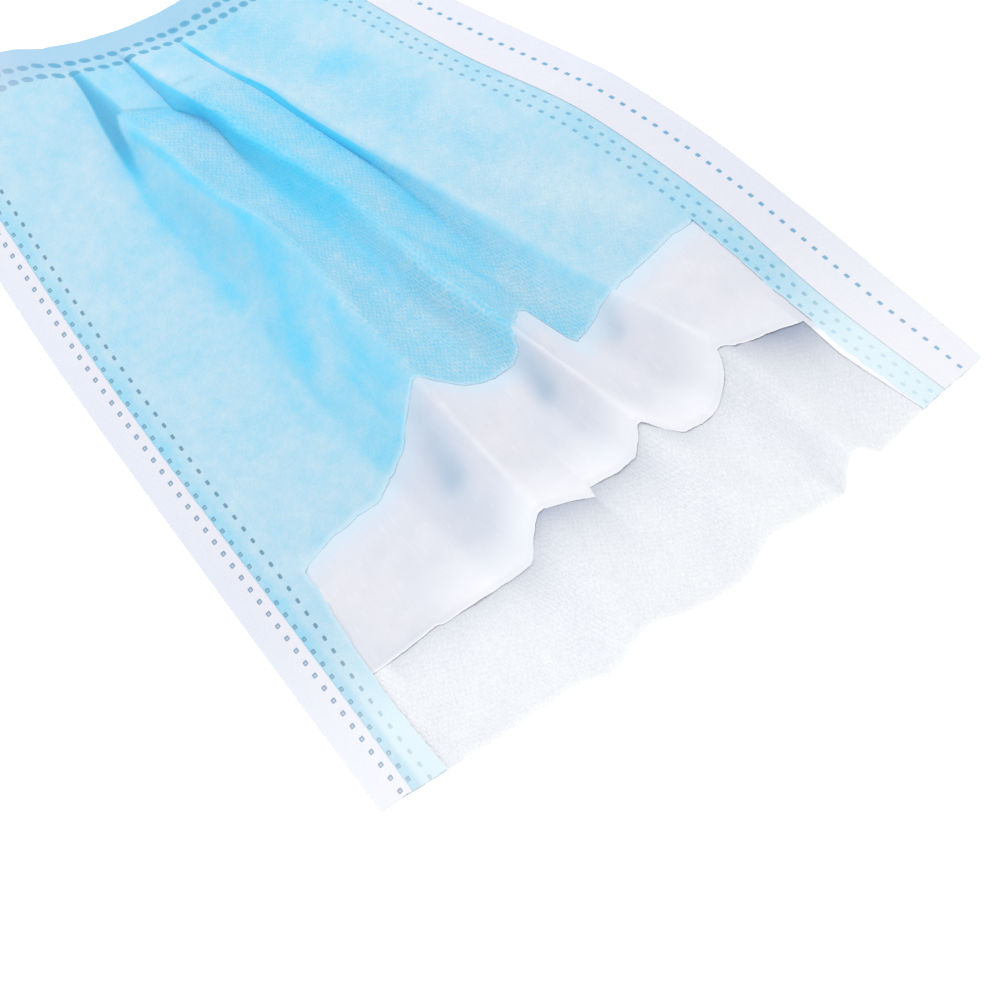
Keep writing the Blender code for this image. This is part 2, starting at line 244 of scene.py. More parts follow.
def undulation(u, x, s):
    """Height in mm, shared by all plies, by which the real cloth departs from the drawn section."""
    swell = sum(height * noise(s / across, x / along) for noise, height, across, along in SWELLS)
    h = (swell + SLACK) * window(u, 1.2, 3.0, 9.3, 11.2) * smoothstep(-80, -60, x)
    for line, half, height in FOLDS:
        d, along = near(line, x, s)
        h += height * bell(d, half) * window(along, 0, 0.2, 0.75, 1)
    for a, b, depth in SAGS:
        inside = np.clip((u - a) / (b - a), 0, 1)
        h -= depth * 4 * inside * (1 - inside) * smoothstep(-60, -30, x)
    for columns, places, height in FLAPS:
        edge = x - np.interp(u, columns, places)
        first, most = columns[0], columns[1] + 0.08
        across = window(u, first - 0.02, first + 0.03, 0.6 * first + 0.4 * most, most)
        rise = np.where(edge < 0, smoothstep(-16, 0, edge) ** 2, 1 - smoothstep(0, 0.5, edge))
        h += across * (height * rise - FLAP_SINK * window(edge, 0, 0.6, 1.0, 5.0))
    return h


# Rows of weld dots along the mask: (column at the stations, half length, half width, pitch, phase,
# darkness of the centre, squareness)
ROW_X = (-94, -50, 0, 40, 94)
LONG_ROWS = {
    "a": ((0.76,) * 5, 0.46, 0.42, 2.93, 0.02, 0.5, 5.0),
    "b": ((1.11, 1.11, 1.10, 1.10, 1.12), 0.46, 0.37, 2.93, 0.30, 0.5, 5.0),
    "c": ((1.42, 1.42, 1.46, 1.50, 1.55), 0.54, 0.33, 2.93, 0.55, 1.0, 4.0),
    "d": ((10.62, 10.6, 10.6, 10.6, 10.58), 0.48, 0.35, 2.60, 0.20, 1.0, 4.0),
    "e": ((10.16, 10.16, 10.16, 10.16, 10.14), 0.48, 0.35, 2.60, 0.70, 1.0, 4.0),
    "f": ((11.55,) * 5, 0.50, 0.41, 2.58, 0.45, 1.0, 5.0),
}
FIRST_DOT = 10.5  # the long rows begin this far from the welded end
END_ROWS = ((5.8, 0.0), (9.1, 0.45))  # distance from the welded end, phase
END_PITCH, END_POWER = 2.45, 2.2
END_HALF = (0.82, 0.90)  # half size along the mask and across it


def row_distance(name, u, x):
    """Distance across, in mm, from a long row of dots."""
    columns, *_ = LONG_ROWS[name]
    centre = np.interp(x, ROW_X, columns)
    k = int(columns[0])
    width = hermite(LINES[k + 1][0], LINES[k + 1][1], x) - hermite(LINES[k][0], LINES[k][1], x)
    return (u - centre) * width


def dot_mask(along, across, pitch, phase, half_along, half_across, power):
    """1 inside a dot and 0 outside, softened over its rim."""
    place = (np.mod(along / pitch + phase, 1.0) - 0.5) * pitch
    r = (np.abs(place / half_along) ** power + np.abs(across / half_across) ** power) ** (1 / power)
    return 1 - smoothstep(0.75, 1.25, r)


def long_dots(names, u, x):
    """Mask of the named long rows."""
    total = np.zeros(len(u))
    for name in names:
        _, half_along, half_across, pitch, phase, _, power = LONG_ROWS[name]
        mask = dot_mask(x, row_distance(name, u, x), pitch, phase, half_along, half_across, power)
        total = np.maximum(total, mask * (x > outline(WELDED_END, u) + FIRST_DOT))
    return total


def end_dots(u, x, y):
    """Mask of the two rows over the welded end."""
    total = np.zeros(len(u))
    for distance, phase in END_ROWS:
        off = x - outline(WELDED_END, u) - distance
        mask = dot_mask(y, off, END_PITCH, phase, END_HALF[1], END_HALF[0], END_POWER)
        total = np.maximum(total, mask)
    return total


# ==== Meshes on a fine lattice whose cells are joined where no detail needs them ====
def add_object(name, data):
    obj = bpy.data.objects.new(name, data)
    bpy.context.scene.collection.objects.link(obj)
    return obj


def mesh_from_cells(cells, points_of, name):
    """cells are (i0, i1, j0, j1) rectangles of the lattice; a cell takes in the corners of smaller neighbours."""
    top_i = max(c[1] for c in cells) + 1
    top_j = max(c[3] for c in cells) + 1
    used = np.zeros((top_i, top_j), bool)
    for i0, i1, j0, j1 in cells:
        used[i0, j0] = used[i1, j0] = used[i0, j1] = used[i1, j1] = True
    index = -np.ones((top_i, top_j), int)
    ii, jj = np.nonzero(used)
    index[ii, jj] = np.arange(len(ii))
    faces = []
    for i0, i1, j0, j1 in cells:
        ring = [index[i, j0] for i in range(i0, i1)]
        ring += [index[i1, j] for j in range(j0, j1)]
        ring += [index[i, j1] for i in range(i1, i0, -1)]
        ring += [index[i0, j] for j in range(j1, j0, -1)]
        faces.append([int(v) for v in ring if v >= 0])
    points, values = points_of(ii, jj)
    data = bpy.data.meshes.new(name)
    data.from_pydata((points * MM).tolist(), [], faces)
    for key, value in values.items():
        value = np.asarray(value, np.float32)
        kind, field = ("FLOAT_VECTOR", "vector") if value.ndim == 2 else ("FLOAT", "value")
        data.attributes.new(key, kind, "POINT").data.foreach_set(field, value.ravel())
    data.polygons.foreach_set("use_smooth", [True] * len(data.polygons))
    # the torn rims stay crisp once the cloth is given its thickness
    mesh = bmesh.new()
    mesh.from_mesh(data)
    for edge in mesh.edges:
        edge.smooth = not edge.is_boundary
    mesh.to_mesh(data)
    mesh.free()
    return add_object(name, data)


def lattice_columns(spans):
    """spans: the first column, then (up to, lattice columns, of them in a cell[, True for fine rows]) each.

    Returns the places of the lattice columns and the cells' blocks of them.
    """
    places, blocks = [spans[0]], []
    for last, count, group, *fine in spans[1:]:
        base = len(places) - 1
        places += list(np.linspace(places[-1], last, count + 1)[1:])
        for start in range(0, count, group):
            blocks.append((base + start, base + min(start + group, count), bool(fine)))
    return np.array(places), blocks


END_STEP = 0.36      # rows over the welded end, in mm
END_FINE = 32        # and their number
ROW_GROUP = 4        # fine rows in a coarse cell


def cells_for(blocks, end_rows, body_rows, more_rows=0, more=lambda block: False, detail=lambda block, j: False):
    """Cells of one sheet: fine over the end, coarse in the body but where detail says, and on where more says."""
    cells = []
    for block in blocks:
        i0, i1, fine = block
        for j in range(end_rows):
            cells += [(i, i + 1, j, j + 1) for i in range(i0, i1)]
        last = end_rows + body_rows + (more_rows if more(block) else 0)
        for start in range(end_rows, last, ROW_GROUP):
            if fine or detail(block, start):
                cells += [(i, i + 1, j, j + 1) for i in range(i0, i1) for j in range(start, start + ROW_GROUP)]
            else:
                cells.append((i0, i1, start, start + ROW_GROUP))
    return cells


def along_rows(u, j, end_rows, body_rows, stop, more_rows=0, far=None):
    """Place along the mask of lattice row j in column u."""
    start = outline(WELDED_END, u)
    zone = start + END_STEP * end_rows
    x = np.where(j <= end_rows, start + END_STEP * j, zone + (stop - zone) * (j - end_rows) / body_rows)
    if more_rows:
        x = np.where(j > end_rows + body_rows, stop + (far - stop) * (j - end_rows - body_rows) / more_rows, x)
    return x


def fringe(u, shift, size):
    """Small unevenness of a torn edge."""
    return size * (0.4 * n_edge(u * 6 + shift, 0 * u) + 0.35 * n_edge(u * 27, 0 * u + shift)
                   + 0.25 * n_edge(u * 75 + shift, 0 * u + 5))


def place(u, x, lift, extra=0.0, crisp=1.0):
    """Row-frame points of the sheet at columns u and places x, raised by lift, and their arc lengths."""
    y, z, ny, nz, s = section(u, x, crisp)
    h = lift + undulation(u, x, s) + extra
    points = np.stack([x, y + ny * h, z + nz * h], -1) - BASE
    return points, y, s


def row_places(names, u, x):
    """Place along and distance from two long rows of dots, for the materials."""
    return np.stack([x, *(row_distance(name, u, x) for name in names)], -1)


# Heights of the plies over the sheet's own surface, their thickness and the depth of their weld dots, in mm
INNER_LIFT, FILTER_LIFT, OUTER_LIFT, HEM_LIFT = 0.15, 0.27, 0.49, 0.62
CLOTH = 0.07
DOT_DEPTH, HEM_DOT_DEPTH = 0.08, 0.12


def loose(u, x):
    """How freely the plies part: not at the welded end or in the bands."""
    return smoothstep(9, 26, x - outline(WELDED_END, u)) * window(u, 1.4, 2.6, 9.5, 10.2)


# Columns between the bands for the two inner plies, as lattice_columns takes them
PLEAT_SPANS = (
    (3.12, 8, 1), (3.90, 20, 2), (4.08, 8, 1), (4.88, 28, 2), (5.15, 6, 1), (5.88, 12, 2), (6.08, 8, 1),
    (6.86, 24, 2), (7.20, 6, 1), (7.85, 4, 1), (8.15, 8, 1), (9.00, 12, 2),
)


# ==== Outer ply ====
OUTER_SPANS = (
    0.90, (1.00, 2, 1, True), (1.22, 6, 1, True), (1.34, 2, 2), (1.60, 8, 1, True), (2.00, 6, 2), (2.90, 44, 3),
    (3.12, 8, 1), (3.90, 20, 2), (4.08, 6, 1), (4.88, 32, 3), (5.15, 6, 1), (5.88, 12, 2), (6.08, 6, 1),
    (6.86, 28, 3), (7.20, 6, 1), (7.85, 4, 1), (8.15, 6, 1), (9.00, 12, 3), (9.90, 36, 4), (10.00, 2, 1),
    (10.32, 6, 1, True), (10.44, 1, 1), (10.78, 7, 1, True), (11.06, 4, 2),
)
OUTER_ROWS, OUTER_MORE = 328, 160
# Heights in mm by which the blue ply stands off where it is loose, and droops at its torn edges
OUTER_SLACK, OUTER_BULGE, OUTER_RIPPLE = 0.10, 0.25, 0.12
OUTER_DROOP, FOOT_DROOP, BAND_DROOP = 0.095, 0.05, 0.07


def make_outer():
    places, blocks = lattice_columns(OUTER_SPANS)

    def in_band(block):
        return places[block[1]] <= 2.001 or places[block[0]] >= 9.999

    def detail(block, j):
        return 3.9 < places[block[0]] < 6.6 and j < END_FINE + 72

    cells = cells_for(blocks, END_FINE, OUTER_ROWS, OUTER_MORE, in_band, detail)

    def points_of(i, j):
        u = places[i]
        stop = outline(OUTER_TEAR, u) + fringe(u, 0.0, 0.45)
        far = outline(CUT_END, u) + fringe(u, 3.0, 0.15)
        x = along_rows(u, j, END_FINE, OUTER_ROWS, stop, OUTER_MORE, far)
        # the torn inner sides of the bands wander a little
        beyond = smoothstep(36, 42, x)
        left = beyond * np.clip((u - 1.5) / 0.5, 0, 1) * (u < 2.01)
        right = beyond * np.clip((10.5 - u) / 0.5, 0, 1) * (u > 9.99)
        u = u + left * (0.02 * n_edge(x / 2.3, 0 * x) - 0.05 * bump(x, 70, 20))
        u = u + right * (0.02 * n_edge(x / 1.9, 0 * x + 9) - 0.05 * smoothstep(64, 69, x))
        body = np.abs(u - 6) < 3.99
        free = loose(u, x) * (1 - smoothstep(-9, -1, x - stop) * body)
        lift = OUTER_LIFT + loose(u, x) * OUTER_SLACK + free * (OUTER_BULGE + OUTER_RIPPLE * n_lift(x / 9, u * 4))
        # the torn rim droops, less in the feet of the pleats, and so do the torn sides of the bands
        foot = np.max([bump(u, line, 0.3) for line in FEET], axis=0)
        lift = lift - smoothstep(-1.5, 0, x - stop) * body * (OUTER_DROOP - FOOT_DROOP * foot)
        lift = lift - BAND_DROOP * beyond * np.maximum(smoothstep(1.8, 2.0, u) * (u < 2.2),
                                                       (1 - smoothstep(10.0, 10.15, u)) * (u > 9.8))
        dents = np.maximum(long_dots("bcde", u, x), end_dots(u, x, section(u, x)[0]))
        points, y, s = place(u, x, lift, -DOT_DEPTH * dents)
        values = {"flat": np.stack([x, s, u], -1), "rows_left": row_places("bc", u, x),
                  "rows_right": row_places("de", u, x), "ends": np.stack([x - outline(WELDED_END, u), y, u], -1),
                  **outer_paint(u, x, s)}
        # painted light: the torn rim and the torn sides of the bands lightened where their edges would shade dark
        values["rim"] = np.maximum(
            smoothstep(-0.6, 0, x - stop) * body,
            beyond * np.maximum(smoothstep(1.94, 2.0, u) * (u < 2.1), (1 - smoothstep(10.0, 10.04, u)) * (u > 9.9)))
        return points, values

    return mesh_from_cells(cells, points_of, "outer_ply_cloth")


# Streaks of deeper or paler blue, partly painted shade and light along the ridges and soft folds and partly the
# cloth's own blotches:
# line as (column, place), half width in mm, weight, column where it is cut off, which is 12 for those that aren't
OUTER_STREAKS = (
    (((4.0, -58), (3.99, -54), (3.93, -51), (3.6, -49)), 0.9, 0.12, 4.03),
    (((3.98, -54), (3.98, -36), (3.98, -24), (3.96, -17)), 0.8, 0.24, 4.04),
    (((3.97, -24), (3.92, -19), (3.82, -13), (3.6, -6.5), (3.4, 0), (3.25, 6), (3.08, 14)), 2.3, 0.22, 4.02),
    (((3.97, 2), (3.82, 9.8), (3.73, 16.2), (3.8, 27)), 1.5, 0.18, 4.02),
    (((3.6, 2), (3.45, 10), (3.3, 18)), 1.6, -0.08, 12),
    (((3.24, -55), (3.2, -48), (3.0, -40), (2.95, -31), (2.98, -20), (3.0, -8)), 2.3, 0.17, 12),
    (((3.5, -44), (3.5, -30), (3.4, -16)), 3.5, 0.08, 4.0),
    (((3.02, -76), (3.0, -60), (2.95, -45)), 2.5, 0.12, 12),
    (((5.9, -70), (5.9, -50), (5.92, -30), (5.95, 0)), 0.8, 0.15, 6.0),
    (((7.9, -70), (7.85, -47), (7.8, -30), (7.7, -12)), 0.9, 0.34, 8.0),
    (((7.02, -28), (7.0, -10), (7.0, 4), (6.9, 16)), 1.2, 0.10, 12),
    (((6.1, 0), (6.4, 12), (6.83, 26)), 1.0, 0.16, 12),
    (((3.5, 12), (3.53, 21), (3.55, 31), (3.6, 40)), 0.8, 0.12, 12),
    (((4.15, -22), (4.25, 0), (4.3, 20)), 2.0, 0.06, 12),
    (((4.85, -33), (4.8, -20), (4.85, -8), (4.9, 10)), 3.0, 0.10, 12),
    (((8.3, -60), (8.6, -40), (8.5, -20)), 2.5, -0.04, 12),
    (((6.85, -48), (6.85, -25), (6.84, -5), (6.8, 10)), 2.4, 0.14, 12),
    (((9.1, -66), (9.25, -52), (9.4, -40), (9.8, -32)), 4.0, 0.13, 12),
    (((8.35, -62), (8.7, -50), (8.9, -40)), 2.5, 0.07, 12),
    (((9.0, -22), (9.3, -8), (9.6, 4)), 4.0, 0.05, 12),
    (((9.4, -44), (9.35, -30), (9.4, -16)), 6.0, 0.13, 12),
    (((6.25, -67), (6.5, -62), (6.8, -56)), 3.0, 0.11, 12),
    (((6.12, -52), (6.12, -38), (6.12, -25)), 1.8, 0.12, 12),
    (((4.25, -38), (4.3, -30), (4.5, -24)), 3.0, 0.10, 12),
    (((2.95, -20), (2.9, -2), (2.85, 8), (2.8, 24)), 3.0, 0.12, 12),
    (((9.2, 0), (9.45, 14), (9.6, 32)), 5.0, -0.10, 12),
    (((6.9, 18), (7.25, 29), (7.7, 40)), 3.5, -0.14, 12),
)
# Where a pressed fold catches the light: line, half width, weight
GLINT = (((4.0, -12), (4.0, 24)), 0.10, 0.3)


# How dark the blue is: of the plain cloth, and added on panels as (weight, columns, places where it sets in); the
# last, over the first wall, is painted shade
PLAIN_TONE = 0.32
PANEL_TONES = (
    (0.14, (3.95, 4.05, 8.0, 8.1), (-60, -48)),
    (0.06, (5.9, 6.1, 7.9, 8.1), (-50, -30)),
    (0.18, (2.9, 3.1, 3.95, 4.02), (-60, -50)),
)
# Painted shade, the dark wedge under the first pressed flap: places, and the columns that bound it there
WEDGE_LEFT = ((-76, -69, -62, -54.5, -48, -40), (3.6, 3.4, 3.25, 3.12, 3.1, 3.1))
WEDGE_RIGHT = ((-76, -58.6, -56, -52, -48, -44), (4.02, 4.02, 3.85, 3.6, 3.35, 3.25))


def outer_paint(u, x, s):
    """How dark the blue is, with painted shade on the walls of the pleats and along their folds, how strong the bond
    texture is, how washed out the cloth is, and a painted highlight on one fold.
    """
    tone = np.full(len(u), PLAIN_TONE)
    for weight, columns, places in PANEL_TONES:
        tone += weight * window(u, *columns) * smoothstep(*places, x)
    tone += 0.10 * smoothstep(8.0, 8.4, u) * (1 - smoothstep(-64, -46, x))
    # first wall: painted shade, the dark wedge under the first pressed flap
    inside = smoothstep(-0.22, 0.12, u - np.interp(x, *WEDGE_LEFT))
    inside = inside * (1 - smoothstep(-0.06, 0.10, u - np.interp(x, *WEDGE_RIGHT)))
    wedge = inside * window(x, -78, -74, -56, -42)
    tone += 0.42 * wedge
    # painted shade toward a darker blue, in the wedge and in a thin line along the second pleat's foot near the weld
    painted_fold_shade = np.clip(wedge + 0.7 * bump(u, 5.05, 0.2) * window(x, -76, -72, -62, -54), 0, 1)
    # second wall: painted shade, the deepest blue, softly bounded
    low = np.interp(x, (-60, -46, -20), (4.98, 4.75, 4.6))
    core = smoothstep(low, low + np.interp(x, (-60, -46, -20), (0.04, 0.35, 0.7)), u)
    core *= 1 - smoothstep(np.interp(x, (-45, -20), (5.93, 5.75)), np.interp(x, (-45, -20), (6.0, 6.3)), u)
    smooth = core * (x < 10)
    along = smoothstep(-74, -66, x) * (1 - 0.45 * smoothstep(-24, -4, x)) * (1 - 0.9 * smoothstep(-12, 18, x))
    tone += 0.42 * core * along
    # third wall: painted shade
    low = np.interp(x, (-64, -50, -34, -18), (7.2, 7.3, 7.1, 6.6))
    core = smoothstep(low, low + np.interp(x, (-56, -30), (0.3, 0.6)), u) * (1 - smoothstep(7.96, 8.01, u))
    tone += 0.26 * core * window(x, -70, -60, -30, 10)
    # the pressed flaps are smooth and pale, the cloth past them darker
    edge = x - np.interp(u, *FLAPS[0][:2])
    flap = window(u, 3.99, 4.02, 5.2, 5.35) * (x > -74)
    past = smoothstep(-0.15, 0.15, edge)
    tone += flap * (0.12 * (1 - past) + 0.26 * past * (1 - smoothstep(1, 12, edge)))
    # streaks, partly painted shade and light along the folds
    for line, half, weight, last in OUTER_STREAKS:
        d, t = near(line, x, s)
        tone += weight * bell(d, half) * window(t, 0, 0.12, 0.85, 1) * (1 - smoothstep(last - 0.04, last, u))
    line, half, weight = GLINT
    d, t = near(line, x, s)
    glint = weight * bell(d, half) * (1 - smoothstep(0.9, 1, t))
    weave = 0.12 + 0.88 * window(u, 3.95, 4.1, 7.0, 8.2) * smoothstep(-0.2, 1.5, edge)
    weave = weave * (1 - 0.5 * smooth) + 0.3 * window(u, 8.0, 8.3, 9.4, 9.9)
    # bands
    doubled = window(u, 1.0, 1.03, 1.25, 1.38) * (u < 2)
    fade = smoothstep(50, 76, x) * ((u < 2.2) | (u > 9.9)) * (1 - 0.5 * doubled)
    tone += 0.13 * doubled * (1 - fade) - 0.04 * (u < 2) + 0.02 * (u > 10)
    pressed = 1 - smoothstep(5.0, 11.0, x - outline(WELDED_END, u))
    return {"tone": tone, "weave": weave, "fade": fade, "pressed": pressed, "glint": glint, "painted_fold_shade": painted_fold_shade}


# ==== Filter ply ====
FILTER_SPANS = (
    1.10, (1.80, 8, 4), (2.00, 4, 2), (2.90, 36, 2), *PLEAT_SPANS, (9.86, 32, 2), (10.95, 16, 4),
)
FILTER_ROWS, FILTER_MORE = 400, 80
FILTER_CRISP = 0.4
# Heights in mm by which the filter stands off where it is loose and at its tear, and droops at the torn rim
FILTER_SLACK, FILTER_RISE, FILTER_RIPPLE, FILTER_DROOP = 0.13, 0.17, 0.12, 0.24
# Painted shade, grey, on the three walls: foot, weight
WALL_SHADES = ((3, 0.26), (5, 0.2), (7, 0.1))
# Wander of the strip inside the wide-hem band: places, columns added
SLIVER = ((60, 64, 73.6, 80.8, 92), (0, 0.04, -0.03, 0.02, 0.1))
# Soft shadows beside the ridges where the filter comes out from under the blue ply: line, half width, weight
HOLLOWS = (
    (((3.85, 27), (3.7, 36), (3.55, 45)), 3.4, 1.0), (((3.45, 40), (3.4, 56)), 3.0, 0.14),
    (((5.9, 32), (5.6, 38), (5.3, 43.5)), 3.0, 1.0), (((5.2, 44), (5.1, 58)), 2.5, 0.2),
    (((7.85, 35), (7.67, 40), (7.5, 43.5)), 2.2, 0.85), (((4.7, 44), (4.75, 58)), 2.0, 0.15),
)
# Fine pale creases, painted highlights along the folds, which also rise a little: line, half width, weight
FILTER_CREASES = (
    (((4.0, 26), (4.0, 66)), 0.09, 0.55), (((6.0, 30), (6.0, 64)), 0.09, 0.6), (((8.0, 35), (8.0, 62)), 0.09, 0.9),
    (((3.75, 34), (3.85, 45), (3.8, 62)), 0.2, 0.12), (((5.1, 38), (5.0, 50), (5.05, 63)), 0.2, 0.15),
    (((6.4, 38), (6.3, 48), (6.5, 62)), 0.2, 0.12), (((2.5, 40), (2.45, 50), (2.5, 60)), 0.25, 0.1),
    (((7.0, 40), (6.95, 48), (6.9, 58)), 0.2, 0.15),
)


def make_filter():
    places, blocks = lattice_columns(FILTER_SPANS)

    def in_band(block):
        return places[block[1]] <= 1.801 or places[block[0]] >= 9.859

    def detail(block, j):
        return 1.7 < places[block[0]] < 9.9 and j >= 276

    cells = cells_for(blocks, 0, FILTER_ROWS, FILTER_MORE, in_band, detail)

    def points_of(i, j):
        u = places[i]
        stop = outline(FILTER_TEAR, u) + fringe(u, 7.0, 0.16)
        far = outline(CUT_END, u) - 0.3
        x = along_rows(u, j, 0, FILTER_ROWS, stop, FILTER_MORE, far)
        sliver = smoothstep(60, 64, x) * np.clip((10.4 - u) / 0.5, 0, 1) * (u > 9.85)
        u = u + sliver * np.interp(x, *SLIVER)
        body = np.abs(u - 5.9) < 3.93
        sides = window(u, 1.85, 2.6, 9.1, 9.8)
        rise = FILTER_RISE + FILTER_RIPPLE * n_lift(u * 5 + 3, 0 * x + 4)
        lift = FILTER_LIFT + loose(u, x) * FILTER_SLACK + smoothstep(-12, 0, x - stop) * sides * rise
        lift = lift - FILTER_DROOP * sides * smoothstep(-1.4, -0.1, x - stop)
        s = section(u, x, FILTER_CRISP)[4]
        bare = smoothstep(-2, 6, x - outline(OUTER_TEAR, u)) * body
        extra = bare * 0.10 * n_fine(x / 2.6, s / 3.1)
        # painted highlights along the creases, which also raise the cloth a little
        highlight_and_pale_edge = np.zeros(len(u))
        for line, half, weight in FILTER_CREASES:
            d, _ = near(line, x, s)
            peak = weight * np.clip(1 - d / (2 * half), 0, 1)
            extra = extra + bare * 0.05 * peak
            highlight_and_pale_edge = np.maximum(highlight_and_pale_edge, weight * bell(d, half))
        # painted shade in the hollows beside the ridges, which also sinks the cloth a little there, and on the walls
        hollow_shade = np.zeros(len(u))
        for line, half, weight in HOLLOWS:
            d, t = near(line, x, s)
            hollow_shade += weight * bell(d, half) * (0.35 + 0.65 * t)
        extra = extra - bare * 0.1 * hollow_shade
        # painted grey shade on the walls
        for foot, weight in WALL_SHADES:
            hollow_shade += weight * window(u, foot - 0.1, foot + 0.1, foot + 0.93, foot + 0.99)
        points, _, s = place(u, x, lift, extra, FILTER_CRISP)
        values = {"flat": np.stack([x, s, u], -1), "hollow_shade": hollow_shade}
        # painted light: the torn rim lightened where it would shade dark
        values["rim"] = smoothstep(-0.6, 0, x - stop) * body
        values["blue"] = 1 - smoothstep(-1, 6, x - outline(OUTER_TEAR, u)) * (1 - 0.6 * bump(u, 6.8, 0.3) * (x < 44))
        paler = smoothstep(-13, -1, x - stop) * smoothstep(2.3, 3.0, u) * (1 - 0.6 * smoothstep(7.6, 8.2, u)) * body
        strip = 0.85 * smoothstep(66, 68, x) * (sliver > 0)
        # painted highlight on the creases, paler cloth towards the torn edge, and the strip beside the band lightened
        values["highlight_and_pale_edge"] = np.maximum(np.maximum(0.45 * highlight_and_pale_edge * bare, 0.65 * paler), strip)
        return points, values

    return mesh_from_cells(cells, points_of, "filter_ply_cloth")


# ==== Inner ply with its long edges folded over ====
# Columns below 0 and above LAST run back over the sheet as the hems.
INNER_SPANS = (
    -1.02, (-0.92, 2, 2), (-0.62, 6, 1, True), (-0.06, 6, 2), (0.06, 6, 1), (1.00, 10, 2), (2.00, 12, 2),
    (2.90, 40, 2), *PLEAT_SPANS, (10.0, 32, 2), (11.0, 12, 2), (11.96, 16, 2), (12.04, 6, 1), (12.36, 6, 2),
    (12.54, 7, 1, True), (13.02, 8, 2),
)
INNER_ROWS = 520
HEM_STEP = 0.25  # how far the hem climbs from the single layer onto the doubled cloth, in mm
INNER_RISE = 0.2  # of the cut end
# The shadow under the filter's torn edge: columns, and its reach in mm or its depth
SHADE_REACH = ((2, 3.5, 4.5, 6, 7, 8, 9.9), (3, 4.5, 5, 4.5, 5, 8, 8))
SHADE_DEPTH = ((2, 3.2, 3.7, 4.0, 4.3, 4.8, 5.8, 6.2, 6.8, 7.6, 8.2, 8.9, 9.5, 9.9),
               (0.4, 0.65, 0.8, 1.4, 1.2, 0.9, 0.45, 0.6, 0.3, 0.2, 0.9, 1.1, 1.75, 1.7))


def make_inner():
    places, blocks = lattice_columns(INNER_SPANS)
    cells = cells_for(blocks, 0, INNER_ROWS)

    def points_of(i, j):
        w = places[i]
        u = np.clip(np.where(w < 0, -w, np.where(w > LAST, 2 * LAST - w, w)), 0, LAST)
        over = (w < 0) | (w > LAST)
        stop = outline(CUT_END, u) + fringe(u, 13.0, 0.2)
        x = along_rows(u, j, 0, INNER_ROWS, stop)
        inward = np.clip(np.where(u < 6, u, LAST - u), 0, 1)
        # round the fold, flat over the single layer, then up onto the doubled cloth
        turn = smoothstep(0, 0.05, inward)
        top = HEM_LIFT - HEM_STEP + HEM_STEP * smoothstep(0.6, 0.9, inward)
        half = (HEM_LIFT - HEM_STEP + INNER_LIFT) / 2
        lift = np.where(over, half + (top - half) * turn, half + (INNER_LIFT - half) * turn)
        dents = long_dots("af", u, x) * over
        body = np.abs(u - 6) < 3.9
        lift = lift + smoothstep(-7, 0, x - stop) * body * INNER_RISE * (1 + n_lift(u * 5 + 9, 0 * x + 6))
        points, _, s = place(u, x, lift, -HEM_DOT_DEPTH * dents)
        flat_s = np.where(w < 0, -s, np.where(w > LAST, 2 * s.max() - s, s))
        values = {"flat": np.stack([x, flat_s, u], -1), "hems": row_places("af", u, x), "top": over}
        values["strip"] = over | (u < 0.98) | (u > 11.02)
        off = np.clip(x - outline(FILTER_TEAR, u), 0, None)
        values["shade"] = np.interp(u, *SHADE_DEPTH) * np.exp(-off / np.interp(u, *SHADE_REACH)) * body
        # painted light: the cut edge lightened where it would shade dark
        values["rim"] = smoothstep(-0.7, 0, x - stop) * body
        values["outward"] = 1 - inward
        values["right"] = u > 6
        values["pale"] = smoothstep(35, 85, x)
        return points, values

    return mesh_from_cells(cells, points_of, "inner_ply_cloth")


# ==== Materials ====
def srgb(r, g, b):
    """Linear colour of an sRGB one given in 0 to 255."""
    def linear(c):
        c /= 255
        return c / 12.92 if c <= 0.04045 else ((c + 0.055) / 1.055) ** 2.4
    return (linear(r), linear(g), linear(b), 1.0)


def set_inputs(node, values):
    for key, value in values.items():
        node.inputs[key].default_value = value


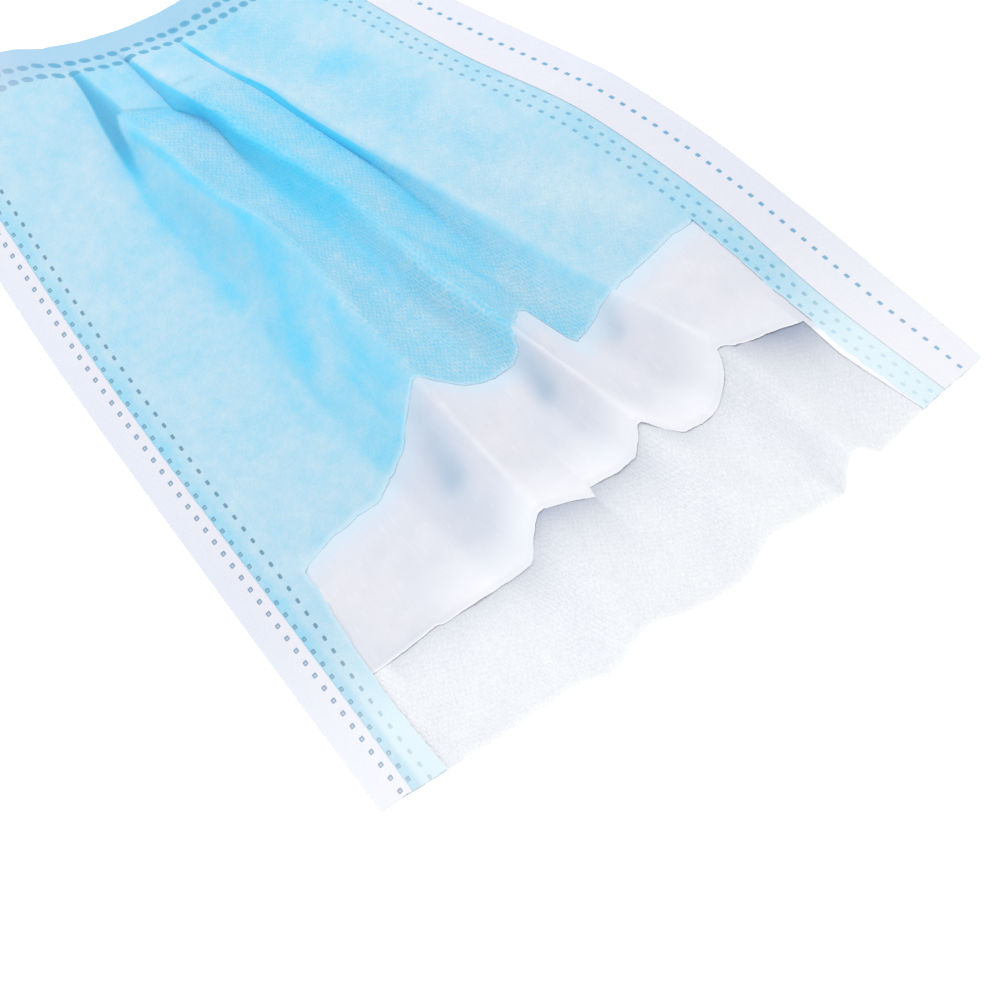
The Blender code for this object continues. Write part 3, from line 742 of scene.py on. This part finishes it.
class Graph:
    """Short names for building a node tree."""

    def __init__(self, name, roughness, sheen):
        self.material = bpy.data.materials.new(name)
        self.material.use_nodes = True
        self.tree = self.material.node_tree
        self.shader = self.tree.nodes["Principled BSDF"]
        set_inputs(self.shader, {"Roughness": roughness, "Sheen Weight": sheen, "Sheen Roughness": 0.5,
                                 "Specular IOR Level": 0.25})

    def put(self, socket, value):
        """Gives a socket its value: a number or vector, another socket, or the name of an attribute."""
        if isinstance(value, str):
            value = self.attribute(value)
        if isinstance(value, bpy.types.NodeSocket):
            self.tree.links.new(value, socket)
        else:
            socket.default_value = value

    def node(self, kind, *values, **settings):
        """A new node of this kind, its first inputs given."""
        n = self.tree.nodes.new("ShaderNode" + kind)
        for key, value in settings.items():
            setattr(n, key, value)
        for socket, value in zip(n.inputs, values):
            self.put(socket, value)
        return n

    def attribute(self, name, output="Fac"):
        return self.node("Attribute", attribute_name=name).outputs[output]

    def math(self, operation, a, b=0.0, c=0.0):
        return self.node("Math", a, b, c, operation=operation).outputs[0]

    def combined(self, operation, values):
        total = values[0]
        for value in values[1:]:
            total = self.math(operation, total, value)
        return total

    def times(self, *values):
        return self.combined("MULTIPLY", values)

    def plus(self, *values):
        return self.combined("ADD", values)

    def around(self, value, middle, weight):
        """(value - middle) * weight"""
        return self.math("MULTIPLY_ADD", value, weight, -middle * weight)

    def split(self, vector):
        return self.node("SeparateXYZ", vector).outputs

    def scaled(self, vector, scale, add=(0, 0, 0)):
        """vector * scale + add"""
        return self.node("VectorMath", vector, scale, add, operation="MULTIPLY_ADD").outputs[0]

    def turned(self, vector, angle):
        n = self.node("VectorRotate", vector, rotation_type="Z_AXIS")
        n.inputs["Angle"].default_value = angle
        return n.outputs[0]

    def noise(self, vector, scale, detail=2.0, roughness=0.5, output="Fac"):
        n = self.node("TexNoise", vector)
        set_inputs(n, {"Scale": scale, "Detail": detail, "Roughness": roughness})
        return n.outputs[output]

    def ramp(self, value, low, high, to_low=0.0, to_high=1.0):
        return self.node("MapRange", value, low, high, to_low, to_high, interpolation_type="SMOOTHSTEP").outputs[0]

    def mix(self, factor, a, b):
        """a turned into b by the factor. A colour is a socket or an sRGB triple in 0 to 255."""
        n = self.node("Mix", factor, data_type="RGBA", blend_type="MIX")
        for socket, colour in zip(n.inputs[6:8], (a, b)):
            self.put(socket, srgb(*colour) if isinstance(colour, tuple) else colour)
        return n.outputs[2]

    def coats(self, colour, *layers):
        """The colour under layers, each given as its factors, which are multiplied, and its own colour."""
        for factors, over in layers:
            colour = self.mix(self.times(*factors), colour, over)
        return colour

    def colour_ramp(self, value, stops):
        n = self.node("ValToRGB", value)
        elements = n.color_ramp.elements
        while len(elements) < len(stops):
            elements.new(0.5)
        for element, (position, colour) in zip(elements, stops):
            element.position = position
            element.color = srgb(*colour)
        return n.outputs[0]

    def shifted(self, vector, amount, scale):
        return self.scaled(self.noise(vector, scale, output="Color"), (amount, amount, 0), vector)

    def wandering(self, flat):
        """The flat place moved by slow and by quicker noise, so that a pattern isn't ruled."""
        return self.shifted(self.shifted(flat, 1.4, 0.22), 0.45, 1.1)

    def dots(self, along, across, pitch, phase, half_along, half_across, power):
        """(mark, rim) of a row of dots, as dot_mask makes them."""
        step = self.math("FRACT", self.math("MULTIPLY_ADD", along, 1 / pitch, phase))
        step = self.math("ABSOLUTE", self.math("MULTIPLY_ADD", step, pitch, -0.5 * pitch))
        a = self.math("POWER", self.math("DIVIDE", step, half_along), power)
        b = self.math("POWER", self.math("DIVIDE", self.math("ABSOLUTE", across), half_across), power)
        r = self.math("POWER", self.math("ADD", a, b), 1 / power)
        return self.ramp(r, 1.12, 0.88), self.ramp(r, 0.3, 0.85)

    def bonds(self, flat, pitch_along, pitch_across, turn, half_along, half_across):
        """Staggered oval bond points of a spunbond cloth: 1 on a point, 0 between."""
        c, s = math.cos(turn), math.sin(turn)
        x, y, _ = self.split(flat)
        along = self.math("DIVIDE", self.plus(self.times(x, c), self.times(y, s)), pitch_along)
        row = self.math("DIVIDE", self.plus(self.times(x, -s), self.times(y, c)), pitch_across)
        odd = self.times(self.math("MODULO", self.math("ABSOLUTE", self.math("FLOOR", row)), 2.0), 0.5)
        squares = []
        for step, stretch in ((self.plus(along, odd), pitch_along / half_along), (row, pitch_across / half_across)):
            off = self.math("SUBTRACT", self.math("FRACT", step), 0.5)
            squares.append(self.math("POWER", self.times(off, stretch), 2.0))
        return self.ramp(self.plus(*squares), 1.8, 0.2)

    def finish(self, colour, height, distance, strength):
        """The material, with its colour and a bump of the height."""
        n = self.node("Bump")
        set_inputs(n, {"Strength": strength, "Distance": distance})
        self.put(n.inputs["Height"], height)
        self.put(self.shader.inputs["Base Color"], colour)
        self.put(self.shader.inputs["Normal"], n.outputs[0])
        return self.material


def fibres(g, flat):
    """Fine crossing fibres, as two stretched noises, around 0.5."""
    one = g.noise(g.scaled(flat, (0.9, 3.4, 0)), 1.0, 3.0, 0.65)
    other = g.noise(g.scaled(g.turned(flat, 1.1), (0.8, 3.8, 0), (7, 3, 0)), 1.0, 3.0, 0.65)
    return g.times(g.plus(one, other), 0.5)


def row_marks(g, rows, names):
    """Marks of two long rows of dots: dark at their rims, the welds' own colour with painted shade of the dents'
    walls, and as dark inside as the row says.
    """
    x, first, second = g.split(g.attribute(rows, "Vector"))
    marks = []
    for name, across in zip(names, (first, second)):
        _, half_along, half_across, pitch, phase, centre, power = LONG_ROWS[name]
        mark, rim = g.dots(x, across, pitch, phase, half_along, half_across, power)
        marks.append(g.times(mark, g.math("MULTIPLY_ADD", rim, 1 - centre, centre)))
    return g.math("MAXIMUM", *marks)


# The blue ply from washed out to deepest
BLUES = ((0.0, (208, 228, 237)), (0.25, (187, 218, 233)), (0.5, (153, 212, 236)),
         (0.75, (114, 209, 242)), (1.0, (81, 206, 245)))
SPUNBOND_BUMP = (0.00012, 0.7)  # distance in m, strength
MELTBLOWN_BUMP = (0.00006, 0.35)


def outer_material():
    g = Graph("outer blue nonwoven", 0.8, 0.12)
    flat = g.attribute("flat", "Vector")
    cloud = g.noise(flat, 0.13, 3.0, 0.55)
    patch = g.noise(flat, 0.42, 3.0, 0.6)
    fibre = fibres(g, flat)
    bonds = g.bonds(g.wandering(flat), 1.25, 0.62, 0.24, 0.46, 0.17)
    uneven = g.ramp(g.noise(flat, 0.7, 3.0), 0.3, 0.7, 0.3, 1.1)
    streaks = g.noise(g.scaled(g.turned(flat, -0.24), (0.75, 3.0, 0)), 1.0, 2.0, 0.6)
    value = g.plus("tone", g.around(cloud, 0.5, 0.38), g.around(patch, 0.5, 0.30), g.around(fibre, 0.5, 0.55),
                   g.times(g.plus(g.around(bonds, 0.3, 0.20), g.around(streaks, 0.5, 0.85)), "weave", uneven))
    from_end, y, column = g.split(g.attribute("ends", "Vector"))
    vivid = g.ramp(column, 2.2, 3.1)  # the weld shows the blue more strongly past the flat panel
    patchy = g.ramp(g.noise(flat, 1.6, 3.0), 0.4, 0.65, 0.1, 1.0)
    # weld dots
    long_marks = g.math("MAXIMUM", row_marks(g, "rows_left", "bc"), g.times(row_marks(g, "rows_right", "de"), 0.9))
    begun = g.ramp(from_end, FIRST_DOT + 0.3, FIRST_DOT + 0.7)
    unfaded = g.math("MULTIPLY_ADD", "fade", -0.7, 1.0)
    marks, rims = zip(*(g.dots(y, g.math("SUBTRACT", from_end, distance), END_PITCH, phase,
                               END_HALF[1], END_HALF[0], END_POWER) for distance, phase in END_ROWS))
    filled = g.mix(g.times(*rims, 0.45), g.mix(vivid, (164, 188, 210), (86, 166, 204)),
                   g.mix(vivid, (158, 184, 208), (112, 184, 214)))
    colour = g.coats(
        g.colour_ramp(value, BLUES),
        # painted shade of the wedge and of the second pleat's foot
        (("painted_fold_shade", 0.6), (76, 156, 200)),
        (("fade", 0.85), (233, 245, 249)),
        (("pressed", 0.75), g.mix(vivid, (190, 206, 228), (163, 203, 230))),
        # painted light on the torn rims
        (("rim", 0.4), (228, 243, 250)),
        (("glint", patchy), (205, 236, 250)),
        ((long_marks, begun, unfaded, 0.8), g.mix(vivid, (84, 134, 160), (100, 168, 200))),
        ((g.math("MAXIMUM", *marks), 0.9), filled))
    height = g.plus(g.times(bonds, "weave", -0.9), g.times(fibre, 1.2))
    return g.finish(colour, height, *SPUNBOND_BUMP)


def filter_material():
    g = Graph("filter white meltblown", 0.62, 0.05)
    flat = g.attribute("flat", "Vector")
    fine = g.noise(flat, 1.3, 4.0, 0.65)
    streak = g.noise(g.scaled(flat, (0.25, 1.6, 0)), 1.0, 3.0, 0.6)
    colour = g.coats(
        g.mix(g.ramp(g.noise(flat, 0.12), 0.3, 0.7), (222, 224, 232), (227, 226, 233)),
        ((fine, 0.16), (208, 212, 226)),
        ((g.ramp(streak, 0.5, 0.8), 0.3), (244, 244, 249)),
        (("blue", 0.8), (206, 228, 243)),
        # painted shade in the hollows and on the walls
        (("hollow_shade", 0.62), (166, 190, 212)),
        # painted light on the torn rim and painted highlights on the creases, with paler cloth towards the torn edge
        ((g.math("MAXIMUM", g.times("rim", 0.85), "highlight_and_pale_edge"),), (250, 250, 253)))
    return g.finish(colour, fine, *MELTBLOWN_BUMP)


def inner_material():
    g = Graph("inner white spunbond", 0.85, 0.1)
    flat = g.attribute("flat", "Vector")
    cloud = g.noise(flat, 0.15, 3.0, 0.6)
    fibre = fibres(g, flat)
    bonds = g.bonds(g.wandering(flat), 1.35, 0.70, 0.30, 0.50, 0.20)
    open_cloth = g.math("MULTIPLY_ADD", "strip", -0.85, 1.0)
    side = g.mix("outward", (226, 224, 234), (220, 225, 237))
    side = g.mix(g.times("right", 0.4), side, (216, 218, 230))
    marks = (row_marks(g, "hems", "af"), "top", g.math("MULTIPLY_ADD", "pale", -0.15, 0.9))
    colour = g.coats(
        g.mix(g.ramp(cloud, 0.3, 0.7), (243, 244, 247), (248, 249, 250)),
        ((bonds, open_cloth, 0.4), (253, 253, 255)),
        ((g.ramp(fibre, 0.35, 0.65, 0.4, 0.0),), (216, 220, 230)),
        (("shade", 0.65), (168, 177, 196)),
        (("strip", 0.75), side),
        (("strip", "pale", 0.6), (250, 250, 253)),
        # painted light on the cut edge
        (("rim", 0.6), (253, 253, 254)),
        (marks, g.mix("right", (88, 138, 170), (100, 168, 204))))
    height = g.plus(g.times(bonds, open_cloth, -0.9), g.times(fibre, 1.2))
    return g.finish(colour, height, *SPUNBOND_BUMP)


# ==== Put the mask together ====
def dress(obj, material, node):
    obj.data.materials.append(material)
    solid = obj.modifiers.new("thickness", "SOLIDIFY")
    solid.thickness = CLOTH * MM
    solid.offset = 0.0
    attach(obj, "root")
    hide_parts(node)


dress(make_outer(), outer_material(), "outer_ply")
dress(make_filter(), filter_material(), "filter_ply")
dress(make_inner(), inner_material(), "inner_ply")


# ==== Table, light and camera ====
TABLE_SIZE, TABLE_GAP = 6.0, 0.00002  # in m: half its width, and how far it lies below the cloth
LENS, SENSOR, DISTANCE = 129.6, 36.0, 0.626  # in mm, mm and m
LIGHT_DISTANCE = 1.3
# name, direction, width in m, power in W, colour
LIGHTS = (
    ("key", (-0.62, 0.28, 0.72), 0.6, 5.5, (1.0, 0.985, 0.96)),
    ("fill", (0.25, -1.0, 0.55), 0.9, 2.2, (0.95, 0.98, 1.0)),
)


def make_floor():
    mesh = bmesh.new()
    bmesh.ops.create_grid(mesh, x_segments=2, y_segments=2, size=TABLE_SIZE)
    data = bpy.data.meshes.new("table")
    mesh.to_mesh(data)
    mesh.free()
    floor = add_object("table", data)
    floor.location = (0, 0, -TABLE_GAP)
    material = bpy.data.materials.new("white light table")
    material.use_nodes = True
    set_inputs(material.node_tree.nodes["Principled BSDF"], {
        "Base Color": (0.96, 0.96, 0.96, 1), "Roughness": 0.9, "Specular IOR Level": 0.1,
        "Emission Color": (1, 1, 1, 1), "Emission Strength": 0.45})
    data.materials.append(material)


AZIMUTH, ELEVATION = math.radians(47), math.radians(55)
BACK = Vector((math.sin(AZIMUTH) * math.cos(ELEVATION), -math.cos(AZIMUTH) * math.cos(ELEVATION),
               math.sin(ELEVATION)))
RIGHT = Vector((math.cos(AZIMUTH), math.sin(AZIMUTH), 0))
UP = BACK.cross(RIGHT)
MEAN_LIFT = 0.6  # of the plies over the sheet's own surface, in mm
LEAN = (0.512, -0.4775)  # what stands 1 mm up hides, in the picture, the table this far behind it
AIM = Vector((51.85 - LEAN[0] * MEAN_LIFT, -13.7461 - LEAN[1] * MEAN_LIFT, 0)) * MM


def make_camera():
    camera = bpy.data.cameras.new("camera")
    camera.sensor_width = SENSOR
    camera.lens = LENS
    camera.clip_start, camera.clip_end = 0.05, 20
    obj = add_object("camera", camera)
    turn = Matrix((RIGHT, UP, BACK)).transposed().to_4x4()
    obj.matrix_world = Matrix.Translation(AIM + BACK * DISTANCE) @ turn
    bpy.context.scene.camera = obj


def make_lights():
    world = bpy.data.worlds.new("studio")
    bpy.context.scene.world = world
    world.use_nodes = True
    set_inputs(world.node_tree.nodes["Background"], {"Color": (0.975, 0.985, 1.0, 1), "Strength": 0.83})
    for name, towards, size, energy, colour in LIGHTS:
        light = bpy.data.lights.new(name, "AREA")
        light.shape = "DISK"
        light.size = size
        light.energy = energy
        light.color = colour
        direction = Vector(towards).normalized()
        obj = add_object(name, light)
        obj.location = direction * LIGHT_DISTANCE
        obj.rotation_mode = "QUATERNION"
        obj.rotation_quaternion = direction.to_track_quat("Z", "Y")


make_floor()
make_camera()
make_lights()
bpy.context.scene.view_settings.view_transform = "Standard"
bpy.context.scene.view_settings.look = "None"
